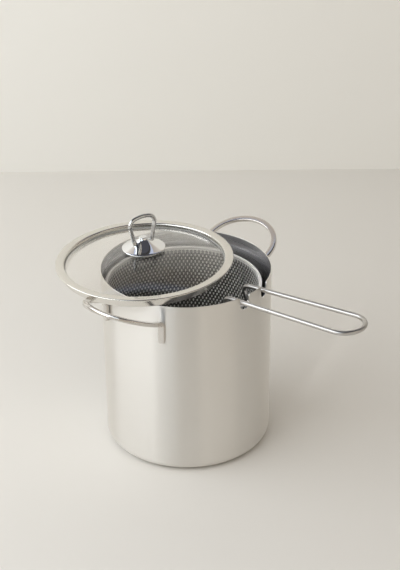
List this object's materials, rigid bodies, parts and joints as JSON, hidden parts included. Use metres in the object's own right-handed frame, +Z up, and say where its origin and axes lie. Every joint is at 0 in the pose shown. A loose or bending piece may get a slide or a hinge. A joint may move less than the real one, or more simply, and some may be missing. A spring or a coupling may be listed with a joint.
{
  "type": "deep fry pot",
  "caption": "Tall straight steel pot with a lift-out perforated basket on a long wire loop, loop side handles and a domed glass lid laid askew.",
  "frame": {"origin": "centre of the base, on the surface the pot stands on", "axes": "+Z up along the pot's axis; the side handles lie along X and the basket handle points along -Y"},
  "size_m": [0.2765, 0.3522, 0.2629],
  "materials": {
    "pot_steel": "satin, brushed round the pot",
    "core_aluminium": "plain",
    "cap_steel": "satin",
    "side_handle_left_steel": "polished",
    "side_handle_right_steel": "polished",
    "basket_wall_steel": "satin perforated sheet",
    "basket_rim_steel": "polished",
    "basket_floor_steel": "satin perforated sheet",
    "basket_handle_steel": "polished wire",
    "lid_rim_steel": "satin",
    "lid_glass": "clear",
    "seal_silicone": "matte",
    "pad_silicone": "matte",
    "knob_chrome": "mirror",
    "loop_chrome": "mirror",
    "washer_silicone": "matte",
    "washer_steel": "polished",
    "screw_steel": "polished"
  },
  "bodies": {
    "pot": {"pot_body": "pot_steel", "base_core": "core_aluminium", "base_cap": "cap_steel", "side_handle_left": "side_handle_left_steel", "side_handle_right": "side_handle_right_steel"},
    "basket": {"basket_wall": "basket_wall_steel", "basket_rim": "basket_rim_steel", "basket_floor": "basket_floor_steel", "basket_handle": "basket_handle_steel"},
    "lid": {"lid_rim": "lid_rim_steel", "lid_glass": "lid_glass", "glass_seal": "seal_silicone", "knob_pad": "pad_silicone", "knob_base": "knob_chrome", "knob_loop": "loop_chrome", "washer_pad": "washer_silicone", "knob_washer": "washer_steel", "knob_screw": "screw_steel"}
  },
  "joints": [
    {"name": "basket_lift", "type": "slide", "parent": "pot", "child": "basket", "axis": [0, 0, 1], "range_m": [0, 0.21]},
    {"name": "lid_lift", "type": "slide", "parent": "basket", "child": "lid", "axis": [0, 0, 1], "range_m": [0, 0.12]}
  ]
}
